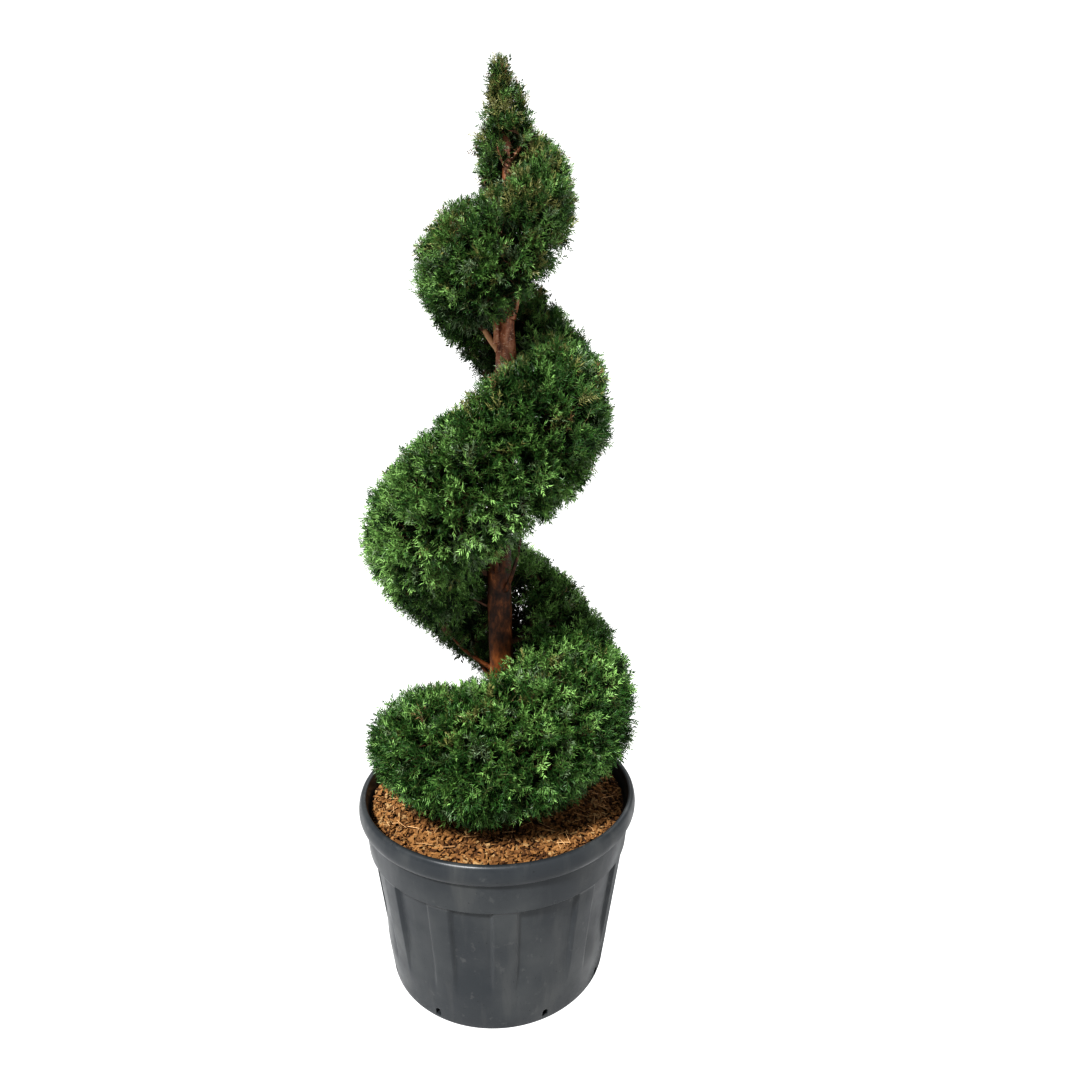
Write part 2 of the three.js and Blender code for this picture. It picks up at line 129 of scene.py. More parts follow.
# ---- bark ----
BARK_SIDES = 80
BARK_STEP = 0.005
BOUGH_SIDES = 24
BOUGH_STEP = 0.004
BARK_FLUTES = [(3, 6, 0.045, 0), (5, -9, 0.028, 1)]  # lobes, twist, share of the radius, start
PLATES_PER_METRE = np.array([60, 60, 26])
PLATE_DEPTH = 0.0022
PLATE_LIMIT = 0.35  # plates are flat further than this from their edges
LUMPS_PER_METRE = 22
LUMP_DEPTH = 0.0016
FULL_BARK = 28  # plates and lumps have their full depth on a limb of 1/28 m
BARK_SUNK = 0.0004
BARE_WOOD = (0.420, 0.240, 0.130)
FOOT_SWELL = 0.35  # how much wider a bough is where it leaves the trunk
FOOT_FADE = 14

# ---- foliage ----
REGIONS = {
    "low": ["low_left", "low_front", "low_right", "low_back"],
    "middle": ["middle_left", "middle_front", "middle_right", "middle_back"],
    "upper": ["upper_left", "upper_front", "upper_right", "upper_back", "top_left"],
    "top": ["spire", "second_tip"],
}
MASSES = [node for nodes in REGIONS.values() for node in nodes]
BOUGHS = [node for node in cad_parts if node.startswith("bough_")]
SNAG = "bough_middle_left"  # a sawn stub that has lost its bark
REGION_FINENESS = {"low": 1.0, "middle": 1.0, "upper": 0.88, "top": 0.76}  # size of the sprays
# Each layer of sprays: how far under the surface its tips end, the same for the deepest of
# them, the distance between sprays, and whether it is the shaded inside.
LAYERS = [
    (-0.005, 0.008, 0.0178, False),
    (0.014, 0.038, 0.030, True),
    (0.045, 0.078, 0.042, True),
    (0.080, 0.125, 0.052, True),
]
INSIDE_SIZE = 1.35  # the sparse sprays inside are longer
STRAY = 0.012  # how far one of them may reach out of the crown
# Where the crown is thin: across and up, half its width and height, the share of the sprays
# that is missing, and whether the far side is as thin.
THIN_PLACES = [
    (0.034, 1.665, 0.024, 0.060, 0.85, False),
    (0.066, 0.905, 0.034, 0.095, 0.92, True),
    (-0.036, 0.895, 0.022, 0.060, 0.60, True),
    (0.165, 1.300, 0.014, 0.030, 0.80, True),
    (0.140, 1.740, 0.022, 0.040, 0.70, True),
]
BOUGH_SPRAYS = 14
HOLLOWS = 0.005  # how deep the clipped surface dips in broad hollows
BUNCHES = 0.009  # and between bunches of shoots
LONE_RANGE = 0.06  # a spray with fewer than four others this close is left out
SPRAY_KINDS = 10
SHADED_COARSENESS = 1.6  # needles deep in the shade are fewer and wider
SHOOT_LENGTH = 0.046
SIDE_SHOOTS = 3
SIDE_LENGTH = 0.026
SIDE_START = 0.12  # how far up the shoot the first one leaves it, as a share
SIDE_GAP = 0.2  # from one to the next, as a share
SIDE_LEAN = (32, 52)  # degrees
NEEDLE_LEAN = 72  # degrees off the shoot at its foot
LEAN_LOST = 44  # degrees less at its tip
NEEDLE_SCATTER = 0.85  # radians round the shoot, out of the two ranks
NEEDLE_SPACING = 0.0026
NEEDLE_LENGTH = 0.0168
NEEDLE_WIDTH = 0.0026
NEEDLE_FOLD = 0.25
NEEDLE_WAIST = 0.3  # where it is widest, as a share of its length
STEM_RADIUS = 0.0009
TWIG_RADIUS = 0.0008
PIPE_POWER = 0.42  # how fast a limb thickens with the number of shoots that it carries
LIMBS_PER_MASS = 5
LIMB_CLIMB = 0.25  # how much a limb rises for its length
FORK_PLACE = (0.35, 0.55)  # how far on a limb forks, as a share of the way to its shoots
FORK_WANDER = 0.07
FORK_SPLIT = (0.35, 0.65)  # the share of the shoots that goes to one side

# Where the colours change. Each band has the height of its middle and its half width.
PAINTED_LIGHT_BAND = (1.02, 0.22)  # painted light: the middle coil made a fresher green
PAINTED_SHADE_BAND = (1.42, 0.14)  # painted shade: the same coil's top made a duller, darker green
BRONZED_ABOVE = 1.2
BRONZED_FULLY = 2.1
# Painted shade on the low coil: darker from the first height down, fully so at the second.
PAINTED_SHADE_BELOW = 0.95
PAINTED_SHADE_FULLY = 0.67
PAINTED_LIGHT_PATCH = (-0.29, 0.93, 0.09)  # across, up and half the width of a patch of painted light on the middle coil's left

# The shade entry is painted shade, dealt to the sprays inside the crown and more often to those facing down;
# deep is a darker green that also serves as painted shade on the low coil, beneath the crown and on the
# middle coil's top.
NEEDLE_SHADES = {
    "shade": (0.006, 0.024, 0.003),
    "deep": (0.030, 0.080, 0.018),
    "mid": (0.096, 0.185, 0.050),
    "fresh": (0.210, 0.355, 0.115),
    "olive": (0.185, 0.185, 0.068),
    "grey": (0.150, 0.205, 0.120),
    "brown": (0.190, 0.115, 0.060),
}
CHIP_SHADES = {
    "dark": (0.055, 0.025, 0.010),
    "brown": (0.145, 0.072, 0.027),
    "orange": (0.245, 0.130, 0.050),
    "pale": (0.300, 0.195, 0.095),
}
CHIP_LIMITS = [0.22, 0.50, 0.82]  # where one shade gives way to the next
STRAND_COLOUR = (0.46, 0.29, 0.15)


# ---- meshes ----


def mesh_piece(name, points, faces, material, slot, nodes=(), smooth=False):
    """A new object from points and equal-sided faces, which rides with the plant."""
    points = np.asarray(points, dtype=np.float32)
    faces = np.asarray(faces, dtype=np.int32)
    mesh = bpy.data.meshes.new(name)
    mesh.vertices.add(len(points))
    mesh.vertices.foreach_set("co", points.ravel())
    mesh.loops.add(faces.size)
    mesh.loops.foreach_set("vertex_index", faces.ravel())
    mesh.polygons.add(len(faces))
    mesh.polygons.foreach_set("loop_start", np.arange(0, faces.size, faces.shape[1], dtype=np.int32))
    mesh.polygons.foreach_set("use_smooth", np.full(len(faces), smooth))
    mesh.update(calc_edges=True)
    mesh.validate()
    mesh.materials.append(material)
    piece = bpy.data.objects.new(name, mesh)
    bpy.context.scene.collection.objects.link(piece)
    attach(piece, BODY)
    if nodes:
        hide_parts(*nodes)
    return piece


def grid_faces(rows, columns):
    """Quads between rows of points, each of which runs on round to its start."""
    row, column = np.meshgrid(np.arange(rows - 1), np.arange(columns), indexing="ij")
    low = row * columns + column
    low_next = row * columns + (column + 1) % columns
    return np.stack([low, low_next, low_next + columns, low + columns], axis=-1).reshape(-1, 4)


def solid_of(node):
    """A CAD node's points, with doubles merged, and its triangles."""
    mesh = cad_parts[node].data
    mesh.calc_loop_triangles()
    points = np.empty(len(mesh.vertices) * 3)
    mesh.vertices.foreach_get("co", points)
    triangles = np.empty(len(mesh.loop_triangles) * 3, dtype=np.int32)
    mesh.loop_triangles.foreach_get("vertices", triangles)
    points, merged = np.unique(points.reshape(-1, 3).round(5), axis=0, return_inverse=True)
    return points, merged.reshape(-1)[triangles].reshape(-1, 3)


def unit(vectors):
    length = np.linalg.norm(vectors, axis=-1, keepdims=True)
    return vectors / np.maximum(length, 1e-12)


def any_across(directions):
    """For each direction, an axis that is well away from it."""
    return np.where(np.abs(directions[:, 2:]) > 0.8, [[1.0, 0, 0]], [[0, 0, 1.0]])


def ease(share):
    """A share that starts and ends gently."""
    return share * share * (3 - 2 * share)


def tree_of(nodes):
    """Something to cast rays at, from several CAD nodes."""
    all_points, all_triangles = [], []
    count = 0
    for node in nodes:
        points, triangles = solid_of(node)
        all_points.extend(points.tolist())
        all_triangles.extend((triangles + count).tolist())
        count += len(points)
    return BVHTree.FromPolygons(all_points, all_triangles)


# ---- materials ----


def plain_material(name, colour, roughness, specular=0.5):
    material = bpy.data.materials.new(name)
    material.use_nodes = True
    shader = material.node_tree.nodes["Principled BSDF"]
    shader.inputs["Base Color"].default_value = (*colour, 1)
    shader.inputs["Roughness"].default_value = roughness
    shader.inputs["Specular IOR Level"].default_value = specular
    return material


class Graph:
    """Adds nodes to a material and links them."""

    def __init__(self, material):
        self.tree = material.node_tree
        self.shader = self.tree.nodes["Principled BSDF"]

    def fill(self, socket, value):
        """Links another node's output to the socket, or sets a plain value on it."""
        if isinstance(value, bpy.types.NodeSocket):
            self.tree.links.new(value, socket)
        else:
            socket.default_value = value

    def add(self, kind, values):
        node = self.tree.nodes.new(kind)
        for key, value in values.items():
            self.fill(node.inputs[key], value)
        return node

    def place(self, scale):
        """The object's own coordinates, stretched."""
        where = self.add("ShaderNodeTexCoord", {}).outputs["Object"]
        return self.add("ShaderNodeMapping", {"Vector": where, "Scale": scale}).outputs["Vector"]

    def noise(self, where, scale, detail=4.0, roughness=0.55):
        values = {"Vector": where, "Scale": scale, "Detail": detail, "Roughness": roughness}
        return self.add("ShaderNodeTexNoise", values).outputs["Fac"]

    def ramp(self, value, stops):
        node = self.add("ShaderNodeValToRGB", {"Fac": value})
        elements = node.color_ramp.elements
        while len(elements) < len(stops):
            elements.new(0.5)
        for element, (place, colour) in zip(elements, stops):
            element.position = place
            element.color = (*colour, 1)
        return node.outputs["Color"]

    def mix(self, share, first, second, blend="MIX"):
        node = self.tree.nodes.new("ShaderNodeMix")
        node.data_type = "RGBA"
        node.blend_type = blend
        for key, value in (("Factor", share), ("A", first), ("B", second)):
            self.fill(next(s for s in node.inputs if s.name == key and s.enabled), value)
        return next(s for s in node.outputs if s.enabled)

    def math(self, operation, first, second=0.0):
        node = self.tree.nodes.new("ShaderNodeMath")
        node.operation = operation
        for socket, value in zip(node.inputs, (first, second)):
            self.fill(socket, value)
        return node.outputs[0]

    def bump(self, height, distance, strength=1.0, under=None):
        values = {"Height": height, "Distance": distance, "Strength": strength}
        if under is not None:
            values["Normal"] = under
        return self.add("ShaderNodeBump", values).outputs["Normal"]

    def shade(self, socket, value):
        self.tree.links.new(value, self.shader.inputs[socket])


def grey(level):
    return (level, level, level)


def pot_material():
    """Dark slate-grey moulded plastic, dusty in patches, with rubbed places and specks."""
    material = plain_material("pot_plastic", (0.030, 0.033, 0.036), 0.36, 0.3)
    g = Graph(material)
    even = g.place((1, 1, 1))
    upright = g.place((1, 1, 0.12))
    dust = g.ramp(g.noise(even, 5.0, 6), [(0.44, grey(0)), (0.72, grey(1))])
    streaks = g.ramp(g.noise(upright, 26, 5), [(0.52, grey(0)), (0.78, grey(1))])
    rubbed = g.ramp(g.noise(even, 38, 7, 0.7), [(0.60, grey(0)), (0.70, grey(1))])
    specks = g.ramp(g.noise(even, 230, 2), [(0.71, grey(0)), (0.74, grey(1))])
    colour = g.mix(dust, (0.024, 0.027, 0.030, 1), (0.046, 0.049, 0.050, 1))
    colour = g.mix(g.math("MULTIPLY", streaks, 0.35), colour, (0.085, 0.085, 0.080, 1))
    colour = g.mix(g.math("MULTIPLY", rubbed, 0.30), colour, (0.110, 0.110, 0.105, 1))
    colour = g.mix(specks, colour, (0.010, 0.010, 0.010, 1))
    g.shade("Base Color", colour)
    g.shade("Roughness", g.ramp(g.noise(even, 14, 5), [(0.3, grey(0.28)), (0.75, grey(0.48))]))
    waves = g.bump(g.noise(upright, 12, 2), 0.0012, 0.25)
    g.shade("Normal", g.bump(g.noise(even, 320, 3), 0.0004, 0.3, waves))
    return material


def soil_material():
    material = plain_material("soil_crumbs", (0.030, 0.021, 0.015), 0.95)
    g = Graph(material)
    crumbs = g.noise(g.place((1, 1, 1)), 90, 6, 0.7)
    g.shade("Base Color", g.ramp(crumbs, [(0.3, (0.012, 0.008, 0.006)), (0.7, (0.06, 0.04, 0.028))]))
    g.shade("Normal", g.bump(crumbs, 0.006))
    return material


def mulch_material():
    """The crumbled bark between and under the chips."""
    material = plain_material("mulch_fines", (0.12, 0.06, 0.03), 0.95)
    g = Graph(material)
    crumbs = g.noise(g.place((1, 1, 1)), 130, 6, 0.7)
    stops = [(0.30, (0.014, 0.006, 0.003)), (0.52, (0.070, 0.030, 0.012)), (0.72, (0.22, 0.10, 0.04))]
    g.shade("Base Color", g.ramp(crumbs, stops))
    g.shade("Normal", g.bump(crumbs, 0.006))
    return material


def bark_material():
    """Red-brown bark: rough and dark low down, smooth with pale flecks high up. Its colour also carries
    painted shade in the cracks between plates and at the very top, and painted light that lightens the upper
    bark.
    """
    material = plain_material("yew_bark", (0.12, 0.045, 0.02), 0.5, 0.4)
    g = Graph(material)
    plates = g.noise(g.place((1, 1, 0.5)), 56, 7, 0.68)
    bands = g.noise(g.place((1, 1, 2.4)), 90, 4, 0.6)
    height = g.add("ShaderNodeSeparateXYZ", {"Vector": g.place((0.5, 0.5, 0.5))}).outputs["Z"]
    # The darkest stops fall where the plates' bump is lowest: painted shade in the cracks.
    low = g.ramp(plates, [
        (0.34, (0.010, 0.004, 0.002)),
        (0.48, (0.045, 0.016, 0.006)),
        (0.60, (0.120, 0.042, 0.014)),
        (0.74, (0.300, 0.125, 0.045)),
    ])
    # Lighter high up: partly the smoother bark's own colour, partly painted light against the shade of the
    # coil above.
    high = g.ramp(plates, [
        (0.34, (0.090, 0.034, 0.018)),
        (0.50, (0.290, 0.120, 0.065)),
        (0.68, (0.540, 0.290, 0.180)),
    ])
    flecks = g.ramp(bands, [(0.58, grey(0)), (0.66, grey(1))])
    high = g.mix(g.math("MULTIPLY", flecks, 0.7), high, (0.60, 0.40, 0.28, 1))
    # Painted shade: the trunk's very top is darkened.
    painted_shade_top = g.ramp(height, [(0.86, grey(0)), (0.90, grey(0.75))])
    high = g.mix(painted_shade_top, high, (0.150, 0.060, 0.030, 1))
    colour = g.mix(g.ramp(height, [(0.55, grey(0)), (0.70, grey(1))]), low, high)
    # Newly bare and orange low down, where the lowest coil rubs it.
    bare = g.ramp(height, [(0.37, grey(1)), (0.42, grey(0))])
    bare = g.math("MULTIPLY", bare, g.ramp(plates, [(0.35, grey(0.15)), (0.60, grey(0.85))]))
    colour = g.mix(bare, colour, (0.36, 0.125, 0.032, 1))
    g.shade("Base Color", colour)
    g.shade("Roughness", g.ramp(height, [(0.50, grey(0.62)), (0.70, grey(0.27))]))
    g.shade("Normal", g.bump(plates, 0.004, 0.8, g.bump(bands, 0.0015, 0.6)))
    return material


# ---- the pot ----


def rib_share(azimuth):
    """1 on a rib, 0 on a panel, for azimuths in degrees: three ribs in each quarter."""
    within = (azimuth - FIRST_RIB + 45) % 90 - 45
    away = np.min([np.abs((within - rib * RIB_SPACING + 45) % 90 - 45) for rib in range(3)], axis=0)
    return ease(np.clip(1 - (away - RIB_HALF_WIDTH) / RIB_SLOPE, 0, 1))


def wall_radius(height):
    top = COLLAR_RADIUS - COLLAR_TAPER - COLLAR_STEP
    return BASE_RADIUS + (top - BASE_RADIUS) * height / COLLAR_BOTTOM


def inner_radius(height):
    bottom, top = BASE_RADIUS - WALL, COLLAR_RADIUS - MOUTH_WALL
    share = (height - FLOOR_THICKNESS) / (LIP_BOTTOM - FLOOR_THICKNESS)
    return bottom + (top - bottom) * share


def rounded(outline, corner_points=5):
    """The outline with each corner rounded: rows of radius, height and the corner's own radius."""
    rows = []
    for i, (radius, height, bend) in enumerate(outline):
        here = np.array([radius, height])
        if bend == 0 or i in (0, len(outline) - 1):
            rows.append(here)
            continue
        before = np.array(outline[i - 1][:2]) - here
        after = np.array(outline[i + 1][:2]) - here
        start = here + unit(before) * min(bend, np.linalg.norm(before) * 0.48)
        end = here + unit(after) * min(bend, np.linalg.norm(after) * 0.48)
        for share in np.linspace(0, 1, corner_points):
            first = start + (here - start) * share
            rows.append(first + (here + (end - here) * share - first) * share)
    return np.array(rows)


def pot_outline():
    """Up the outside from the middle of the underside, over the lip, and down to the floor."""
    collar_foot = COLLAR_RADIUS - COLLAR_TAPER
    wall = [(wall_radius(height), height, 0) for height in np.linspace(WALL_START, FLUTE_TOP, WALL_RINGS)]
    outline = [
        (0.0, 0.0, 0),
        (BASE_RADIUS - 0.03, 0.0, 0),
        (BASE_RADIUS, 0.0, 0.006),
        *wall,
        (collar_foot + 0.0004, COLLAR_BOTTOM, 0.0015),
        (COLLAR_RADIUS - 0.004, LIP_BOTTOM - 0.012, 0.004),
        (COLLAR_RADIUS - 0.002, LIP_BOTTOM + 0.005, 0.001),
        (COLLAR_RADIUS + 0.005, LIP_BOTTOM, 0.003),
        (RIM_RADIUS - 0.001, LIP_BOTTOM + 0.010, 0.008),
        (RIM_RADIUS, RIM_HEIGHT - 0.020, 0.012),
        (RIM_RADIUS - 0.005, RIM_HEIGHT, 0.011),
        (RIM_RADIUS - LIP_WIDTH + 0.001, RIM_HEIGHT, 0.006),
        (RIM_RADIUS - LIP_WIDTH - 0.001, RIM_HEIGHT - 0.014, 0.004),
        (inner_radius(LIP_BOTTOM), LIP_BOTTOM, 0.004),
        (inner_radius(FLOOR_THICKNESS), FLOOR_THICKNESS, 0.004),
        (0.0, FLOOR_THICKNESS, 0),
    ]
    return rounded(outline)


def panel_depth(radius, height):
    """How deep the panels are sunk into the wall's outside at a point of the outline."""
    outside = radius > wall_radius(height) - WALL_TOLERANCE
    fade = ease(np.clip((height - FLUTE_BOTTOM) / FLUTE_FADE, 0, 1))
    top = np.clip((COLLAR_BOTTOM - height) / LEDGE, 0, 1)
    return PANEL_STEP * fade * top * outside


def make_pot(material):
    outline = pot_outline()
    azimuth = np.arange(POT_COLUMNS) * 360 / POT_COLUMNS
    angle = np.radians(azimuth)
    share = 1 - rib_share(azimuth)
    points = []
    for radius, height in outline:
        r = radius - panel_depth(radius, height) * share
        points.append(np.stack([r * np.cos(angle), r * np.sin(angle), np.full_like(r, height)], axis=-1))
    points = np.concatenate(points)
    faces = grid_faces(len(outline), POT_COLUMNS)
    pot = mesh_piece("pot_moulding", points, faces, material, "pot", ["pot"], smooth=True)
    weld(pot)
    cut_drains(pot)


def weld(piece):
    """Joins the points that fall on one another, such as those of a ring on the axis."""
    modifier = piece.modifiers.new("weld", "WELD")
    modifier.merge_threshold = 0.00001
    apply_modifiers(piece)


def apply_modifiers(piece):
    graph = bpy.context.evaluated_depsgraph_get()
    mesh = bpy.data.meshes.new_from_object(piece.evaluated_get(graph))
    piece.modifiers.clear()
    piece.data = mesh


def arch(width, height, arc_points=9):
    """A doorway's outline, upright and across: straight sides under a half-round top."""
    half = width / 2
    turn = np.linspace(0, np.pi, arc_points)
    top = np.stack([half * np.cos(turn), height - half + half * np.sin(turn)], axis=-1)
    return np.concatenate([[[half, 0.0]], top, [[-half, 0.0]]])


def cut_drains(pot):
    """The drain slots low in the wall, two in each quarter."""
    outline = arch(DRAIN["width"], DRAIN["height"])
    count = len(outline)
    ends = [
        np.column_stack([np.full(count, BASE_RADIUS + side * DRAIN["depth"] / 2), outline])
        for side in (-1, 1)
    ]
    slot = np.concatenate(ends) + [0, 0, DRAIN["bottom"]]
    sides = grid_faces(2, count)
    points, faces = [], []
    for quarter in range(4):
        for side in (-1, 1):
            azimuth = np.radians(DRAIN_PAIR_CENTRE + 90 * quarter + side * DRAIN_HALF_ANGLE)
            turn = np.array(Matrix.Rotation(azimuth, 3, "Z"))
            first = len(points)
            points.extend((slot @ turn.T).tolist())
            faces.extend((sides + first).tolist())
            faces.append([first + i for i in reversed(range(count))])
            faces.append([first + count + i for i in range(count)])
    mesh = bpy.data.meshes.new("drains")
    mesh.from_pydata(points, [], faces)
    cutter = bpy.data.objects.new("drains", mesh)
    bpy.context.scene.collection.objects.link(cutter)
    modifier = pot.modifiers.new("drains", "BOOLEAN")
    modifier.operation = "DIFFERENCE"
    modifier.solver = "EXACT"
    modifier.object = cutter
    apply_modifiers(pot)
    bpy.data.objects.remove(cutter)


# ---- soil and mulch ----


def dress(node, material):
    """Gives a CAD node a better material in place of its own."""
    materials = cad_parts[node].data.materials
    materials.clear()
    materials.append(material)


def mulch_height(tree, x, y):
    """The CAD mulch's surface at a place, or the nearest of it under the trunk."""
    hit = tree.ray_cast(Vector((x, y, 1.0)), Vector((0, 0, -1)))[0]
    return (hit or tree.find_nearest(Vector((x, y, MULCH_TOP)))[0]).z


def make_mulch_bed(material, tree):
    """The crumbly surface that the chips lie on, closed underneath."""
    edge = inner_radius(MULCH_TOP) - BED_MARGIN
    rows = []
    for share in np.linspace(1, 0, BED_RINGS):
        for column in range(BED_COLUMNS):
            angle = 2 * np.pi * column / BED_COLUMNS
            x, y = edge * share * np.cos(angle), edge * share * np.sin(angle)
            height = mulch_height(tree, x * MULCH_PROBE, y * MULCH_PROBE)
            height += BED_CRUMBS * noise.noise(Vector((x, y, 0)) * CRUMBS_PER_METRE) - BED_SUNK
            rows.append((x, y, height))
    foot = [(x, y, MULCH_FOOT) for x, y, _ in rows[:BED_COLUMNS]]
    points = [(0, 0, MULCH_FOOT)] * BED_COLUMNS + foot + rows
    faces = grid_faces(BED_RINGS + 2, BED_COLUMNS)
    weld(mesh_piece("mulch_bed", points, faces, material, "mulch", ["bark_mulch"], smooth=True))


def chip_shapes(rng, count):
    """Angular lumps about the origin, one unit long: 8 knocked-about corners each."""
    corners = np.array([(x, y, z) for x in (-0.5, 0.5) for y in (-0.5, 0.5) for z in (-0.5, 0.5)])
    width = rng.uniform(*CHIP_WIDTH, (count, 1))
    thickness = width * rng.uniform(*CHIP_THICKNESS, (count, 1))
    sizes = np.concatenate([np.ones((count, 1)), width, thickness], axis=1)
    knocked = corners + rng.uniform(-CHIP_KNOCKS, CHIP_KNOCKS, (count, 8, 3))
    return knocked * sizes[:, None, :]


CUBE_FACES = np.array([
    (0, 1, 3, 2), (4, 6, 7, 5), (0, 4, 5, 1), (2, 3, 7, 6), (0, 2, 6, 4), (1, 5, 7, 3),
])


def turned_about(rng, count, tilt):
    """Rotations that turn by any azimuth and tip by up to about tilt radians."""
    azimuth = rng.uniform(0, 2 * np.pi, count)
    lean = np.stack([rng.normal(0, tilt, count), rng.normal(0, tilt, count), np.ones(count)], axis=-1)
    up = unit(lean)
    along = np.stack([np.cos(azimuth), np.sin(azimuth), np.zeros(count)], axis=-1)
    across = unit(np.cross(up, along))
    return np.stack([np.cross(across, up), across, up], axis=-1)


def make_chips(tree):
    """Loose bark chips in several browns, strewn over the bed up to the pot's wall."""
    rng = np.random.default_rng(31)
    edge = inner_radius(MULCH_TOP) - CHIP_MARGIN
    radius = edge * np.sqrt(rng.uniform(0.02, 1, CHIPS))
    angle = rng.uniform(0, 2 * np.pi, CHIPS)
    x, y = radius * np.cos(angle), radius * np.sin(angle)
    length = CHIP_LENGTH[0] + (CHIP_LENGTH[1] - CHIP_LENGTH[0]) * rng.beta(1.6, 2.6, CHIPS)
    # Chips that lie near the wall don't reach into it.
    inward = 1 - np.maximum(0, radius + length / 2 - edge) / radius
    x, y = x * inward, y * inward
    height = [mulch_height(tree, a * MULCH_PROBE, b * MULCH_PROBE) for a, b in zip(x, y)]
    place = np.stack([x, y, np.array(height) + rng.uniform(*CHIP_LIFT, CHIPS)], axis=-1)
    lumps = chip_shapes(rng, CHIPS) * length[:, None, None]
    points = np.einsum("nij,nkj->nki", turned_about(rng, CHIPS, CHIP_TILT), lumps) + place[:, None]
    patch = np.array([noise.noise(Vector(p) * 9) for p in place])
    level = np.clip(rng.normal(0.52, 0.24, CHIPS) + 0.25 * patch, 0, 0.999)
    shade = np.searchsorted(CHIP_LIMITS, level)
    for number, (name, colour) in enumerate(CHIP_SHADES.items()):
        chosen = points[shade == number]
        first = np.arange(len(chosen))[:, None, None] * 8
        faces = (CUBE_FACES[None] + first).reshape(-1, 4)
        material = plain_material(f"chip_{name}", colour, 0.85, 0.25)
        mesh_piece(f"chips_{name}", chosen.reshape(-1, 3), faces, material, "mulch", ["bark_mulch"])


def make_strands(tree):
    """Thin pale fibres of bark that lie on the chips."""
    rng = np.random.default_rng(47)
    edge = inner_radius(MULCH_TOP) - STRAND_MARGIN
    starts, ends, radii = [], [], []
    for _ in range(STRANDS):
        radius, angle = edge * np.sqrt(rng.uniform(0.05, 1)), rng.uniform(0, 2 * np.pi)
        heading, bend = rng.uniform(0, 2 * np.pi), rng.normal(0, 0.5)
        place = np.array([radius * np.cos(angle), radius * np.sin(angle)])
        step = rng.uniform(*STRAND_STEP)
        thick = rng.uniform(*STRAND_RADIUS)
        lift = rng.uniform(*STRAND_LIFT)
        before = None
        for _ in range(STRAND_PIECES + 1):
            height = mulch_height(tree, *place * STRAND_PROBE) + lift
            point = np.array([*place, height])
            if before is not None:
                starts.append(before)
                ends.append(point)
                radii.append(thick)
            before = point
            heading += bend / STRAND_PIECES
            place = place + step * np.array([np.cos(heading), np.sin(heading)])
            place *= min(1, edge / np.linalg.norm(place))
    points, faces = prisms(np.array(starts), np.array(ends), np.array(radii), np.array(radii))
    material = plain_material("strand", STRAND_COLOUR, 0.8, 0.25)
    mesh_piece("mulch_strands", points, faces, material, "mulch", ["bark_mulch"])


def rings_across(starts, ends, sides):
    """Unit vectors all round each line from start to end."""
    along = unit(ends - starts)
    first = unit(np.cross(along, any_across(along)))
    second = np.cross(along, first)
    turn = (2 * np.pi * np.arange(sides) / sides)[None, :, None]
    return first[:, None] * np.cos(turn) + second[:, None] * np.sin(turn)


def prisms(starts, ends, start_radii, end_radii, sides=3):
    """Thin open tubes from starts to ends, as joined points and quads."""
    ring = rings_across(starts, ends, sides)
    low = starts[:, None] + ring * start_radii[:, None, None]
    high = ends[:, None] + ring * end_radii[:, None, None]
    points = np.concatenate([low, high], axis=1).reshape(-1, 3)
    first = np.arange(len(starts))[:, None, None] * 2 * sides
    return points, (grid_faces(2, sides)[None] + first).reshape(-1, 4)


def cones(starts, ends, radii, sides=3):
    """Thin open cones that run to a point at their ends, as joined points and triangles."""
    low = starts[:, None] + rings_across(starts, ends, sides) * radii[:, None, None]
    points = np.concatenate([low, ends[:, None]], axis=1).reshape(-1, 3)
    one = np.array([(side, (side + 1) % sides, sides) for side in range(sides)])
    first = np.arange(len(starts))[:, None, None] * (sides + 1)
    return points, (one[None] + first).reshape(-1, 3)


# ---- trunk and boughs ----


def trunk_rings():
    """Height, middle and mean radius of each ring of the CAD trunk."""
    points = solid_of("trunk")[0]
    heights = np.unique(points[:, 2].round(4))
    rows = []
    for height in heights:
        ring = points[np.abs(points[:, 2] - height) < 0.0002]
        if len(ring) < 8:
            continue
        away = ring[:, :2] - ring[:, :2].mean(axis=0)
        distance = np.linalg.norm(away, axis=1)
        on_edge = distance > 0.5 * distance.max()
        rows.append((height, *ring[on_edge, :2].mean(axis=0), distance[on_edge].mean()))
    return np.array(rows)


TRUNK = trunk_rings()


def trunk_at(height):
    """The trunk's middle at heights, and its mean radius there."""
    x, y, radius = (np.interp(height, TRUNK[:, 0], TRUNK[:, column]) for column in (1, 2, 3))
    return np.stack([x, y, np.broadcast_to(height, np.shape(x))], axis=-1), radius


def bark_relief(point, angle, along, radius):
    """How far the bark stands out at a point: flutes along the limb, plates that flake, and lumps."""
    flutes = 0.0
    for lobes, twist, depth, start in BARK_FLUTES:
        flutes += depth * np.sin(lobes * angle + along * twist + start)
    plate = noise.voronoi(Vector(point * PLATES_PER_METRE))[0]
    flake = min(plate[1] - plate[0], PLATE_LIMIT)
    lumps = noise.noise(Vector(point) * LUMPS_PER_METRE)
    relief = PLATE_DEPTH * flake + LUMP_DEPTH * lumps
    return radius * (flutes + FULL_BARK * relief) - BARK_SUNK


